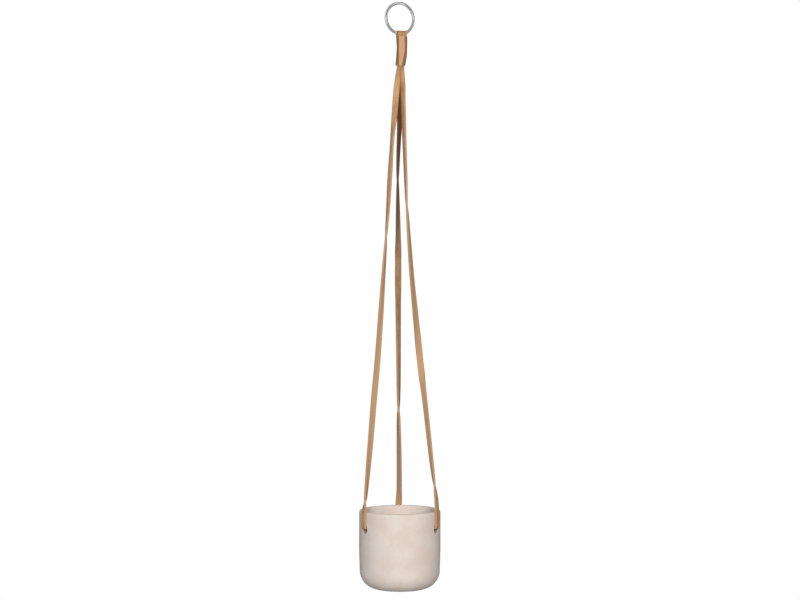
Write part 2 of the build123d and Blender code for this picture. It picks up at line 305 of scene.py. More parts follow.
@dataclass(frozen=True)
class Hang:
    """Sizes of the planter that its pieces share, as in the model's source, and others from them.

    A name that ends in _z is a height: of the ring's centre, of the wire's middle at its lowest, of
    the wrap's edges, of the neck where the straps begin to part, of the short strap's end in the
    wrap, of the pot's rim and where its wall meets the rim's rounding, of its base, and of a hole
    and the strap in it.
    """

    hang_to_rim: float = 868.0 * MM
    ring_bore: float = 47.5 * MM
    ring_wire: float = 5.0 * MM
    ring_turn: float = 27.0
    strap_width: float = 11.0 * MM
    strap_thickness: float = 3.5 * MM
    fold_shift: float = 3.6 * MM
    wrap_length: float = 49.0 * MM
    wrap_below_wire: float = 2.2 * MM
    wrap_lean: float = 2.2 * MM
    wrap_bow: float = 1.5 * MM
    wrap_top: Pair = (19.4 * MM, 10.2 * MM)
    wrap_foot: Pair = (17.6 * MM, 9.6 * MM)
    wrap_corner: float = 4.0 * MM
    wrap_wall: float = 1.5 * MM
    leg_gap: float = 0.3 * MM
    leg_inset: float = 0.3 * MM
    neck_lead: float = 2.0 * MM
    tail_short: float = 14.0 * MM
    back_shift: float = 2.8 * MM
    pot_radius: float = 70.0 * MM
    pot_height: float = 134.5 * MM
    pot_wall: float = 10.0 * MM
    rim_round: float = 4.6 * MM
    hole_turn: float = 2.0
    hole_ways: tuple[float, ...] = (-60.0, 60.0, 180.0)
    hole_drop: float = 29.0 * MM
    hole_radius: float = 7.0 * MM
    strap_fit: float = 0.3 * MM
    strap_bend: float = 2.8 * MM

    ring_radius: float = (ring_bore + ring_wire) / 2
    ring_mid_z: float = -ring_bore / 2
    wire_low_z: float = ring_mid_z - ring_radius
    wrap_top_z: float = wire_low_z - ring_wire / 2 - wrap_below_wire
    wrap_foot_z: float = wrap_top_z - wrap_length
    neck_z: float = wrap_foot_z - neck_lead
    tail_end_z: float = wrap_foot_z + tail_short
    rim_z: float = -hang_to_rim
    meet_z: float = rim_z - rim_round
    base_z: float = rim_z - pot_height
    hole_z: float = rim_z - hole_drop
    hole_room: float = math.sqrt((hole_radius - strap_fit) ** 2 - (strap_width / 2) ** 2)
    strap_in_hole_z: float = hole_z + hole_room - strap_thickness / 2
    strap_on_wall: float = pot_radius + strap_fit + strap_thickness / 2

    @property
    def side(self) -> Array:
        """Level direction in the ring's plane."""
        return rightward(self.ring_turn)

    @property
    def behind(self) -> Array:
        """Level direction out of the ring's plane, to the back."""
        return -outward(self.ring_turn)

    def down_wrap(self, z: Values) -> Values:
        """Share of the way down the wrap at a height, held at its ends."""
        return np.clip((self.wrap_top_z - np.asarray(z, float)) / self.wrap_length, 0.0, 1.0)

    def wrap_size(self, z: Values) -> list[Values]:
        """Width and depth of the wrap's outside at a height."""
        share = self.down_wrap(z)
        return [between(top, foot, share) for top, foot in zip(self.wrap_top, self.wrap_foot)]

    def head(self, u: Values, v: Values, z: Values) -> Array:
        """Give places in the gathered head, which leans left down the wrap and bows to the right.

        Args:
            u: distance along the ring's plane from the folds' middle.
            v: distance behind the ring's plane.
            z: height.

        Returns:
            Places, with a last axis of 3.
        """
        u, v, z = np.broadcast_arrays(np.asarray(u, float), v, z)
        share = self.down_wrap(z)
        level = (self.fold_shift + u)[..., None] * self.side + v[..., None] * self.behind
        to_right = self.wrap_bow * np.sin(math.pi * share) - self.wrap_lean * share
        return level + np.stack([to_right, 0 * z, z], axis=-1)

    def leg(self, z: Values) -> list[Values]:
        """Width and thickness that a gathered strap has inside the wrap at a height."""
        inset = (self.wrap_corner - self.wrap_wall) * (1 - math.sqrt(0.5)) + self.leg_inset
        return [size / 2 - self.wrap_wall - inset for size in self.wrap_size(z)]

    def leg_point(self, column: Column, layer: Layer, z: float) -> Array:
        """Give the middle of a gathered strap at a height.

        The long fold's back leg moves to the middle below the short strap's tail.

        Args:
            column: its fold's place on the ring.
            layer: its place before or behind the ring.
            z: the height.

        Returns:
            The place.
        """
        width, thickness = self.leg(z)
        u = column.value * (width + self.leg_gap) / 2
        if (column, layer) == (Column.LEFT, Layer.BACK):
            u = u + self.back_shift * np.clip((self.tail_end_z - z) / self.tail_short, 0.0, 1.0)
        return self.head(u, layer.value * (thickness + self.leg_gap) / 2, z)


HANG = Hang()


@dataclass(frozen=True)
class StrapOutline:
    """Outline of a strap's section: a rectangle with eased corners.

    A point is a corner's centre, pushed out along the corner's arc. The corner centres scale with
    the strap's width and thickness, and the arcs keep their radius.

    Args:
        corner: radius of the eased corners.
        across: points along each broad face.
        edge: points along each cut edge.
        arc: points along each corner's arc.
        cut_from: how far a point faces aside where the cut edge begins and where it is full.
    """

    corner: float = 0.45 * MM
    across: int = 11
    edge: int = 2
    arc: int = 5
    cut_from: Pair = (0.45, 0.9)

    def parts(self) -> Array:
        """Walk the outline anticlockwise from the right edge: four times an arc, then a side.

        Returns:
            Four rows of a value for each point: width factor, thickness factor, arc x and arc y.
        """
        turn = np.linspace(0.0, math.pi / 2, self.arc)
        broad = np.linspace(1.0, -1.0, self.across + 2)[1:-1]
        edge = np.linspace(1.0, -1.0, self.edge + 2)[1:-1]
        columns: list[Array] = []
        for number, (sx, sy) in enumerate(((1, 1), (-1, 1), (-1, -1), (1, -1))):
            angle = turn + number * math.pi / 2
            columns.append(np.stack([sx + 0 * turn, sy + 0 * turn, np.cos(angle), np.sin(angle)]))
            if number % 2 == 0:
                columns.append(np.stack([sx * broad, sy + 0 * broad, 0 * broad, sy + 0 * broad]))
            else:
                columns.append(np.stack([sx + 0 * edge, sy * edge, sx + 0 * edge, 0 * edge]))
        return np.concatenate(columns, axis=1)

    def place(self, width: Array, thickness: Array) -> tuple[Array, Array]:
        """Give the section's points for each station.

        Args:
            width: strap width at each station.
            thickness: strap thickness at each station.

        Returns:
            Two stations x points arrays: the offset across the strap and out of its face.
        """
        fx, fy, ax, ay = self.parts()
        half_w = (width / 2 - self.corner)[:, None]
        half_t = (thickness / 2 - self.corner)[:, None]
        return fx * half_w + ax * self.corner, fy * half_t + ay * self.corner

    def marks(self, length: Array) -> Marks:
        """Give the point attributes that the leather finish reads.

        Args:
            length: length along the strap at each station.

        Returns:
            Marks for the cut edge, the flesh side, the place across and the place along.
        """
        fx, _, ax, ay = self.parts()
        return {"cut": ease(np.abs(ax), *self.cut_from), "flesh": np.clip(-ay, 0.0, 1.0),
                "across": fx * HANG.strap_width / 2, "along": length[:, None]}


class NodeBook:
    """A material's shader nodes, made one call at a time."""

    def __init__(self, name: str) -> None:
        """Start an empty material with a Principled shader on its output.

        Args:
            name: the material's name.
        """
        self.material = bpy.data.materials.new(name)
        self.material.use_nodes = True
        self.tree = self.material.node_tree
        self.tree.nodes.clear()
        self.surface = self.add("OutputMaterial").inputs["Surface"]
        self.shader = self.add("BsdfPrincipled")
        self.feed(self.surface, self.shader.outputs["BSDF"])

    def feed(self, socket: Socket, value: object) -> None:
        """Fill an input.

        Args:
            socket: the input.
            value: a socket to link, a number, a vector or a linear colour.
        """
        if isinstance(value, Socket):
            self.tree.links.new(value, socket)
        else:
            socket.default_value = (*value, 1.0) if socket.type == "RGBA" else value

    def add(self, kind: str, **inputs: object) -> bpy.types.Node:
        """Add a node and fill its inputs.

        Args:
            kind: the node's type, without its ShaderNode prefix.
            inputs: what feeds each input by its name, with _ for a blank, and the node's settings
                by theirs.

        Returns:
            The node.
        """
        node = self.tree.nodes.new("ShaderNode" + kind)
        for key, value in inputs.items():
            socket = node.inputs.get(key.replace("_", " "))
            if socket is None:
                setattr(node, key, value)
            else:
                self.feed(socket, value)
        return node

    def set(self, **sockets: object) -> None:
        """Fill the Principled shader's inputs by name, with _ for a blank."""
        for key, value in sockets.items():
            self.feed(self.shader.inputs[key.replace("_", " ")], value)

    def where(self) -> Socket:
        """A point's place on its piece."""
        return self.add("TexCoord").outputs["Object"]

    def mark(self, name: str) -> Socket:
        """A point attribute's value."""
        return self.add("Attribute", attribute_name=name).outputs["Fac"]

    def noise(self, where: Socket, scale: float, detail: float, rough: float = 0.55) -> Socket:
        """Noise value at a place."""
        node = self.add("TexNoise", Vector=where, Scale=scale, Detail=detail, Roughness=rough)
        return node.outputs["Fac"]

    def cells(self, where: Socket, scale: float) -> Socket:
        """Distance from the middle of the nearest of many scattered cells."""
        return self.add("TexVoronoi", Vector=where, Scale=scale).outputs["Distance"]

    def band(self, value: Socket, low: float, high: float, start: float = 0.0,
             end: float = 1.0) -> Socket:
        """Value eased from low..high to start..end and held there."""
        return self.add("MapRange", interpolation_type="SMOOTHSTEP", Value=value, From_Min=low,
                        From_Max=high, To_Min=start, To_Max=end).outputs["Result"]

    def maths(self, kind: str, *values: object) -> Socket:
        """Do arithmetic on one or two values.

        Args:
            kind: the Math node's operation.
            values: sockets or numbers.

        Returns:
            The result.
        """
        node = self.add("Math", operation=kind)
        for socket, value in zip(node.inputs, values):
            self.feed(socket, value)
        return node.outputs[0]

    def times(self, a: object, b: object) -> Socket:
        """Product of two values."""
        return self.maths("MULTIPLY", a, b)

    def plus(self, *values: object) -> Socket:
        """Sum of the values."""
        return reduce(partial(self.maths, "ADD"), values)

    def mix(self, share: object, a: object, b: object) -> Socket:
        """Mix two colours.

        Args:
            share: how much of the second is taken.
            a: the first colour, a socket or a linear colour.
            b: the second.

        Returns:
            The mixed colour.
        """
        node = self.add("Mix", data_type="RGBA")
        for number, value in ((0, share), (6, a), (7, b)):
            self.feed(node.inputs[number], value)
        return node.outputs[2]

    def bump(self, height: Socket, distance: float, strength: float, **under: Socket) -> Socket:
        """Bumped normal from a height, over the Normal of another bump if given."""
        node = self.add("Bump", Height=height, Distance=distance, Strength=strength, **under)
        return node.outputs["Normal"]


def linear(red: int, green: int, blue: int) -> Colour:
    """Linear colour of a screen colour in 0 to 255."""
    c = np.array([red, green, blue]) / 255.0
    return tuple(float(x) for x in np.where(c <= 0.04045, c / 12.92, ((c + 0.055) / 1.055) ** 2.4))


@dataclass(frozen=True)
class LeatherFinish:
    """Vegetable-tanned leather: mottled grain, pores, pull-up streaks and fibrous cut edges.

    Args:
        name: the material's name.
        grain: colour of the grain side.
        dark: colour of its darker mottles.
        cut: colour of the cut edges.
        flesh: colour of the flesh side.
        gathered: colour of the painted shade near the gather, on fold crests and down the straps.
        roughness: roughness of the grain side.
        sheen: strength of its reflections.
        relief: depth of its grain.
    """

    name: str
    grain: Colour
    dark: Colour
    cut: Colour
    flesh: Colour
    gathered: Colour
    roughness: float = 0.58
    sheen: float = 0.26
    relief: float = 0.12 * MM

    def make(self) -> Material:
        """Build the material from the strap's own marks and the place on its piece.

        Returns:
            The material.
        """
        book = NodeBook(self.name)
        where = book.where()
        across = book.times(book.mark("across"), 9.0)
        lengthwise = book.add("CombineXYZ", X=across, Y=book.mark("along")).outputs[0]
        mottle = book.noise(where, 55.0, 4.0)
        streak = book.noise(lengthwise, 60.0, 3.0)
        pores = book.cells(where, 1500.0)
        wrinkle = book.noise(where, 900.0, 2.0)
        fibre = book.noise(where, 2600.0, 2.0)
        tone = book.plus(book.times(mottle, 0.6), book.times(streak, 0.4))
        face = book.mix(book.band(tone, 0.36, 0.64), self.dark, self.grain)
        face = book.mix(book.band(pores, 0.05, 0.32, 0.22, 0.0), face, self.dark)
        back = book.mix(book.band(fibre, 0.35, 0.65), self.flesh, self.grain)
        colour = book.mix(book.mark("flesh"), face, back)
        rim = book.mix(book.band(fibre, 0.35, 0.7), self.cut, self.grain)
        colour = book.mix(book.mark("cut"), colour, rim)
        # Painted shade: the shade mark darkens the leather towards the gathered colour.
        colour = book.mix(book.mark("painted_shade"), colour, self.gathered)
        rough = book.plus(self.roughness, book.times(book.mark("cut"), 0.25),
                          book.times(book.plus(wrinkle, -0.5), 0.25))
        height = book.plus(book.band(pores, 0.0, 0.4), book.times(wrinkle, 0.9),
                           book.times(fibre, 0.35))
        book.set(Base_Color=colour, Roughness=rough, Specular_IOR_Level=self.sheen,
                 Normal=book.bump(height, self.relief, 0.6))
        return book.material


@dataclass(frozen=True)
class WrapFinish:
    """The wrap's leather, darkened with painted shade where it bends round the sides.

    Args:
        name: the material's name.
        face: colour of the flat front.
        flank: colour of the painted shade on the bent sides.
        cut: colour of the cut edges.
        sheen: strength of its reflections.
        relief: depth of its grain.
    """

    name: str
    face: Colour
    flank: Colour
    cut: Colour
    sheen: float = 0.4
    relief: float = 0.12 * MM

    def make(self) -> Material:
        """Build the material from the wrap's flank and cut marks and the place on it.

        Returns:
            The material.
        """
        book = NodeBook(self.name)
        where = book.where()
        mottle = book.noise(where, 120.0, 4.0)
        pores = book.cells(where, 1700.0)
        wrinkle = book.noise(where, 800.0, 3.0)
        # Painted shade on the bent sides, broken up by the mottle.
        shade_amount = book.plus(book.mark("flank"), book.times(book.plus(mottle, -0.5), 0.7))
        colour = book.mix(book.band(shade_amount, 0.15, 0.85), self.face, self.flank)
        colour = book.mix(book.band(pores, 0.05, 0.3, 0.2, 0.0), colour, self.flank)
        colour = book.mix(book.mark("cut"), colour, self.cut)
        height = book.plus(book.band(pores, 0.0, 0.4), wrinkle)
        book.set(Base_Color=colour, Roughness=book.band(shade_amount, 0.0, 1.0, 0.56, 0.42),
                 Specular_IOR_Level=self.sheen, Normal=book.bump(height, self.relief, 0.6))
        return book.material


@dataclass(frozen=True)
class MetalFinish:
    """Polished ring metal with faint draw marks and a little dulling.

    Args:
        name: the material's name.
        bright: colour of the polished metal.
        dull: colour of its dulled patches.
    """

    name: str
    bright: Colour
    dull: Colour

    def make(self) -> Material:
        """Build the material from the place on its piece.

        Returns:
            The material.
        """
        book = NodeBook(self.name)
        where = book.where()
        cloud = book.noise(where, 90.0, 3.0)
        scuff = book.noise(where, 1800.0, 3.0)
        book.set(Base_Color=book.mix(book.band(cloud, 0.4, 0.7), self.bright, self.dull),
                 Metallic=1.0, Roughness=book.band(scuff, 0.3, 0.7, 0.12, 0.18))
        return book.material


@dataclass(frozen=True)
class CementFinish:
    """Cement under a thin beige wash: soft patches, brush marks, fine grit and pinholes.

    Args:
        name: the material's name.
        wash: main colour of the wash.
        warm: colour of its warmer patches.
        bare: colour of the grey cement that shows through.
        bore: colour of the walls of the strap holes, darkened as painted shade.
        sheen: strength of its reflections.
        relief: depth of its grit and pinholes.
        swell: depth of its soft patches.
    """

    name: str
    wash: Colour
    warm: Colour
    bare: Colour
    bore: Colour
    sheen: float = 0.22
    relief: float = 0.16 * MM
    swell: float = 0.9 * MM

    def make(self) -> Material:
        """Build the material from the holes' mark and the place on its piece.

        Returns:
            The material.
        """
        book = NodeBook(self.name)
        where = book.where()
        level = book.add("Mapping", Vector=where, Scale=(30.0, 30.0, 90.0)).outputs[0]
        patch = book.noise(where, 28.0, 4.0, 0.6)
        brushed = book.noise(level, 1.0, 4.0)
        thin = book.noise(where, 65.0, 5.0, 0.62)
        grit = book.noise(where, 700.0, 3.0)
        holes = book.band(book.cells(where, 210.0), 0.03, 0.09, 1.0, 0.0)
        colour = book.mix(book.band(patch, 0.38, 0.66), self.wash, self.warm)
        colour = book.mix(book.band(brushed, 0.5, 0.75, 0.0, 0.35), colour, self.warm)
        colour = book.mix(book.band(thin, 0.60, 0.74, 0.0, 0.3), colour, self.bare)
        colour = book.mix(book.band(grit, 0.62, 0.78, 0.0, 0.25), colour, self.bare)
        colour = book.mix(book.times(holes, 0.35), colour, self.bare)
        # Painted shade in the strap holes.
        colour = book.mix(book.mark("bore"), colour, self.bore)
        height = book.plus(book.times(grit, 0.6), book.times(holes, -1.2))
        soft = book.bump(patch, self.swell, 0.5)
        book.set(Base_Color=colour, Roughness=book.band(grit, 0.3, 0.7, 0.78, 0.92),
                 Specular_IOR_Level=self.sheen,
                 Normal=book.bump(height, self.relief, 0.55, Normal=soft))
        return book.material


@dataclass(frozen=True)
class ThreadFinish:
    """Waxed linen thread with its twist.

    Args:
        name: the material's name.
        light: colour of the strands' crowns.
        dark: colour between the strands, painted shade.
        lay: how fast the strands turn along the thread.
        relief: depth between the strands.
    """

    name: str
    light: Colour
    dark: Colour
    lay: float = 1100.0
    relief: float = 0.15 * MM

    def make(self) -> Material:
        """Build the material from the stitch's own turn and length.

        Returns:
            The material.
        """
        book = NodeBook(self.name)
        turn = book.plus(book.mark("round"), book.times(book.mark("along"), self.lay))
        twist = book.maths("ABSOLUTE", book.maths("SINE", turn))
        # Painted shade between the strands.
        book.set(Base_Color=book.mix(twist, self.dark, self.light), Roughness=0.5,
                 Normal=book.bump(twist, self.relief, 0.8))
        return book.material


# The last colour of each leather is its painted shade.
STRAP_LEATHER = LeatherFinish("strap_leather", linear(206, 162, 121), linear(181, 137, 96),
                              linear(178, 141, 104), linear(201, 159, 118), linear(104, 71, 40))
# The back strap's leather: the strap leather darkened as painted shade, for lying behind the front
# straps.
BACK_LEATHER = LeatherFinish("strap_leather_painted_shade", linear(184, 146, 112), linear(160, 121, 86),
                             linear(182, 146, 111), linear(176, 139, 104), linear(96, 64, 40))
WRAP_LEATHER = WrapFinish("wrap_leather", linear(207, 161, 123), linear(136, 97, 63),
                          linear(200, 163, 124))
RING_METAL = MetalFinish("ring_metal", linear(206, 205, 205), linear(191, 190, 191))
POT_CEMENT = CementFinish("pot_cement", linear(228, 216, 207), linear(222, 207, 196),
                          linear(196, 186, 177), linear(150, 128, 106))
WRAP_THREAD = ThreadFinish("wrap_thread", linear(222, 200, 164), linear(146, 116, 82))


def dress(piece: Piece, material: Material, slot: str, *nodes: str) -> None:
    """Give a piece its only material, and hide the solids that it stands for.

    Args:
        piece: the piece.
        material: its finish.
        slot: the record's slot that it takes its finish from; not used.
        nodes: the solids that it stands for.
    """
    piece.data.materials.clear()
    piece.data.materials.append(material)
    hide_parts(*nodes)


@dataclass
class HangingRing:
    """The ring of round wire that the planter hangs by."""

    rounds: int = 240
    sides: int = 48
    weld_at: float = 205.0  # degrees anticlockwise from the right
    weld_reach: float = 2.2  # degrees
    weld_swell: float = 0.12 * MM

    def build(self) -> Piece:
        """Torus: round the ring by one angle and round the wire by the other.

        The wire is a hair thicker at its butt weld, by a bell curve of the angle from it.

        Returns:
            The ring's object.
        """
        t, p = angles(self.rounds)[:, None], angles(self.sides)
        off = (np.degrees(t) - self.weld_at + 180.0) % 360.0 - 180.0
        wire = HANG.ring_wire / 2 + self.weld_swell * np.exp(-(off / self.weld_reach) ** 2)
        reach = HANG.ring_radius + wire * np.cos(p)
        points = (reach * np.cos(t))[..., None] * HANG.side + (reach * np.sin(t))[..., None] * UP
        points = points + (wire * np.sin(p))[..., None] * HANG.behind + UP * HANG.ring_mid_z
        return Lattice(points, loop=True).mesh("ring")

    def dress(self, piece: Piece) -> None:
        """Finish the ring, stand it for its solid and hang it from the hook."""
        dress(piece, RING_METAL.make(), "ring_metal", "hanging_ring")
        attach(piece, "ring")


@dataclass
class StrapFold:
    """A strap's fold over the ring with its two legs down into the wrap.

    Args:
        name: the piece's name.
        column: the fold's place on the ring.
        nodes: the solids that the piece stands for.
    """

    name: str
    column: Column
    nodes: tuple[str, ...]
    width: float = 9.4 * MM
    thickness: float = 2.2 * MM
    gap: float = 0.3 * MM
    fit: float = 0.3 * MM
    crown: float = 0.25 * MM
    pinch: float = 0.2
    paring: float = 1.6 * MM
    paring_rate: float = 0.7  # of the wire's rise
    # strength of the painted shade along the fold's crest
    shade_amount: float = 0.6
    part_below: float = 1.0 * MM
    settle: float = 0.6 * MM
    rock_reach: float = 6.0 * MM
    rows: tuple[int, int, int] = (14, 46, 40)  # in the wrap, above it and over the wire
    outline: StrapOutline = field(default_factory=StrapOutline)

    def path(self) -> Array:
        """Line of the strap in the plane square to the ring.

        Each leg swings from its layer in the wrap out to the wire by a smooth step of the height,
        and a half circle round the wire joins the two.

        Returns:
            Four rows of a value for each station: the distance behind the ring, the height, the
            share of the fold's own shape (0 in the wrap) and the nearness to its crest (1 on top
            of the wire).
        """
        low = HANG.wire_low_z
        reach = HANG.ring_wire / 2 + self.fit + self.thickness / 2
        part_z = HANG.wrap_top_z - self.part_below
        gripped, free, over = self.rows
        z = np.concatenate([np.linspace(HANG.tail_end_z, part_z, gripped)[:-1],
                            np.linspace(part_z, low, free)])
        layer = (HANG.leg(z)[1] + HANG.leg_gap) / 2
        share = ease(z, part_z, low - self.settle)
        leg = np.stack([between(layer, reach, share), z, share, 0 * z])
        turn = np.linspace(math.pi, 0.0, over)[1:-1]
        up = np.sin(turn)
        crest = np.stack([reach * np.cos(turn), low + reach * up, 1 + 0 * turn, up])
        front = leg * np.array([[-1.0], [1.0], [1.0], [1.0]])
        return np.concatenate([front, crest, leg[:, ::-1]], axis=1)

    def build(self) -> Piece:
        """Carry the strap's outline along the fold's line, riding up the wire's own curve.

        A point's height gains the rise of the ring's wire at its place along the ring, so the fold
        sits in the ring like a saddle; the gain fades out towards the wrap. On its crest the strap
        is pinched towards the other fold and pared thinner the higher the wire rises, so the two
        crests make one level line.

        Returns:
            The fold's object.
        """
        line = self.path()
        v, z = line[:2]
        share, crest = line[2:, :, None]
        leg_width, leg_thickness = HANG.leg(z)
        width = between(leg_width, self.width, share[:, 0])
        thickness = between(leg_thickness, self.thickness, share[:, 0])
        step = between(leg_width + HANG.leg_gap, self.width + self.gap, share[:, 0])
        along = unit(np.gradient(line[:2], axis=1).T)
        x, y = self.outline.place(width, thickness)
        y = y + self.crown * share * (1.0 - (2 * x / width[:, None]) ** 2) * (y > 0)
        u = (self.column.value * step[:, None] / 2 - x) * (1.0 - self.pinch * crest)
        lift = HANG.ring_radius - np.sqrt(HANG.ring_radius ** 2 - (HANG.fold_shift + u) ** 2)
        y = y - np.minimum(self.paring_rate * lift, self.paring) * crest * (y > 0)
        place_v = v[:, None] - along[:, 1:] * y
        place_z = z[:, None] + along[:, :1] * y + lift * share
        marks = self.outline.marks(run_length(line[:2].T))
        # Painted shade along the top of the fold's crest.
        marks["painted_shade"] = self.shade_amount * crest ** 2
        return Lattice(HANG.head(u, place_v, place_z)).mesh(self.name, marks)

    def dress(self, piece: Piece, leather: Material) -> None:
        """Finish the fold, stand it for its solids and bake its place into its mesh.

        Args:
            piece: the fold's object.
            leather: its finish.
        """
        dress(piece, leather, "strap_leather", *self.nodes)
        pivot = HANG.head(0.0, 0.0, HANG.wire_low_z)
        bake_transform(piece)


@dataclass
class GatherWrap:
    """The leather sleeve that grips the straps, sewn up at the back."""

    around: int = 240
    corner_points: int = 400
    rows: int = 40
    lip_points: int = 9
    lap: float = 0.9 * MM
    lap_at: float = -2.0 * MM
    lap_edge: float = 0.15 * MM
    lap_flat: float = 2.0 * MM
    lap_wide: float = 8.0 * MM
    lap_behind: float = 2.0 * MM
    lap_skin: float = 0.6  # of the wall's thickness
    swell: float = 0.25 * MM
    creases: float = 1.3
    crease_phase: float = 0.4  # radians
    point: float = 2.4 * MM
    point_aside: float = 0.4 * MM
    point_wide: float = 0.42  # of the foot's width, to each side
    point_from: float = 0.55  # of the way down
    flank: Pair = (0.48, 0.64)  # of half the foot's width
    flank_more: float = 0.26
    flank_from: float = 0.45  # of the way down
    stitches: int = 7
    pitch: float = 6.0 * MM
    stitch_length: float = 4.4 * MM
    thread: float = 1.0 * MM
    seam_shift: float = 2.4 * MM
    stand: float = 0.925 * MM
    sink: float = 0.5 * MM
    slant: float = 0.35 * MM
    strands: int = 3
    tip: float = 0.02  # keeps a stitch's ends from closing to a point
    stitch_rows: int = 17
    stitch_sides: int = 12

    def loop(self, size: Pair) -> tuple[Array, Array]:
        """Rounded rectangle walked at an even pace, anticlockwise from above.

        Each corner is an arc about its own centre; straight sides join the arcs.

        Args:
            size: width along the ring's plane and depth across it.

        Returns:
            Places (n x 2) and outward normals (n x 2).
        """
        nudge = 1e-6  # keeps every normal off the axes, so that each belongs to one corner
        t = angles(self.corner_points) + nudge
        normal = np.column_stack([np.cos(t), np.sin(t)])
        centre = np.sign(normal) * (np.array(size) / 2 - HANG.wrap_corner)
        dense = centre + HANG.wrap_corner * normal
        closed = np.vstack([dense, dense[:1]])
        spot, pace = evenly(closed, self.around + 1)
        turned = np.interp(pace, run_length(closed), np.append(t, t[0] + ROUND))
        return spot[:-1], np.column_stack([np.cos(turned), np.sin(turned)])[:-1]

    def build(self) -> Piece:
        """Carry the wall's section round the sleeve: out, over the top edge, down inside and back.

        The section is a thin rectangle with rounded ends; the sleeve tapers and leans from top to
        foot, its front foot comes to a shallow point, and its lapped end stands proud at the back.

        Returns:
            The wrap's object.
        """
        wall, half = HANG.wrap_wall, HANG.wrap_wall / 2
        rise = np.linspace(0.0, 1.0, self.rows)[:, None]
        turn = np.linspace(0.0, math.pi, self.lip_points)[1:-1, None]
        bulge = half * np.sin(turn)
        inset = np.vstack([0 * rise, half - half * np.cos(turn), wall + 0 * rise,
                           half + half * np.cos(turn)])
        down = np.vstack([1 - rise, 0 * turn, rise, 1 + 0 * turn])
        lip = np.vstack([0 * rise, bulge, 0 * rise, -bulge])
        top_spot, normal = self.loop(HANG.wrap_top)
        foot_spot, _ = self.loop(HANG.wrap_foot)
        spot = between(top_spot, foot_spot, down[..., None])
        u, v = spot[..., 0], spot[..., 1]
        lapped = ease(u, self.lap_at - self.lap_edge, self.lap_at + self.lap_edge)
        lapped = lapped * (1 - ease(u, self.lap_at + self.lap_flat, self.lap_at + self.lap_wide))
        lapped = lapped * (v > self.lap_behind) * (inset < wall * self.lap_skin)
        crease = np.sin(math.pi * down) * np.cos(ROUND * down * self.creases + self.crease_phase)
        push = -inset + self.lap * lapped + self.swell * crease * (inset < half)
        level = spot + push[..., None] * normal
        aside = np.abs(u + self.point_aside) / (HANG.wrap_foot[0] * self.point_wide)
        point = np.clip(1 - aside, 0, 1) * (v < 0) * ease(down, self.point_from, 1.0)
        z = HANG.wrap_top_z - HANG.wrap_length * down + lip - self.point * point
        points = HANG.head(level[..., 0], level[..., 1], z)
        middle = HANG.head(0.0, 0.0, z)[..., 0]
        # Painted shade mask: darker the further a point lies aside from the middle, more towards
        # the foot.
        nearer = self.flank_more * ease(down, self.flank_from, 1.0)
        aside = np.abs(points[..., 0] - middle) / (HANG.wrap_foot[0] / 2)
        flank = ease(aside + nearer, *self.flank)
        return Lattice(points, loop=True).mesh("wrap", {"flank": flank, "cut": np.abs(lip) / half})

    def build_stitches(self) -> Piece:
        """Row of stitches: each a short round rod bowed into the leather at both ends.

        Along a stitch the radius falls off by the sixth power, and the rod sinks by the fourth.

        Returns:
            The stitches' object.
        """
        s = np.linspace(-1.0, 1.0, self.stitch_rows)[:, None]
        turn = angles(self.stitch_sides)
        radius = self.thread / 2 * np.sqrt(np.clip(1 - s ** 6, self.tip, 1))
        first = HANG.wrap_top_z - HANG.wrap_length / 2 + self.pitch * (self.stitches - 1) / 2
        lattices, marks = [], []
        for number in range(self.stitches):
            z = first - self.pitch * number + self.stitch_length / 2 * s
            u = self.seam_shift + self.slant * s + radius * np.cos(turn)
            v = HANG.wrap_size(z)[1] / 2 + self.stand - self.sink * s ** 4 + radius * np.sin(turn)
            lattices.append(Lattice(HANG.head(u, v, z)))
            marks.append({"along": z, "round": self.strands * turn})
        return joined("wrap_stitches_row", lattices, marks)

    def dress(self, sleeve: Piece, row: Piece) -> None:
        """Finish the sleeve and its stitches and hang them with the straps.

        Args:
            sleeve: the wrap's object.
            row: the stitches' object.
        """
        dress(sleeve, WRAP_LEATHER.make(), "wrap_leather", "gather_wrap")
        dress(row, WRAP_THREAD.make(), "thread", "wrap_stitches")
        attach(sleeve, "hanger")
        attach(row, "hanger")


Route = tuple[tuple[float, ...], ...]
ShadeTable = tuple[Pair, ...]

LEFT_ROUTE: Route = (
    (0.000, 0.0, 0.0, 27.0), (0.023, -1.5, 0.0, 5.0), (0.045, -1.0, 0.0, -15.0),
    (0.066, -1.3, 0.0, -25.0), (0.115, -1.6, 0.0, -42.0), (0.155, -2.4, 0.0, -65.0),
    (0.190, -1.8, 0.0, -69.0), (0.225, -1.3, 0.0, -60.0), (0.265, -0.8, 0.0, -59.0),
    (0.311, 0.3, 0.0, -67.0), (0.365, 0.6, 0.0, -80.0), (0.403, 0.9, 0.0, -98.5),
    (0.479, 1.7, 0.0, -115.0), (0.546, 2.4, 0.0, -127.0), (0.663, 3.3, 0.0, -138.0),
    (0.748, 2.1, 0.0, -140.0), (0.816, 2.1, 0.0, -134.0), (0.883, 1.4, 0.0, -126.0),
    (0.918, 1.1, 0.0, -117.0), (0.966, 0.7, 0.0, -103.0), (0.984, 0.3, 0.0, -66.0),
    (1.000, 0.0, 0.0, -58.0),
)
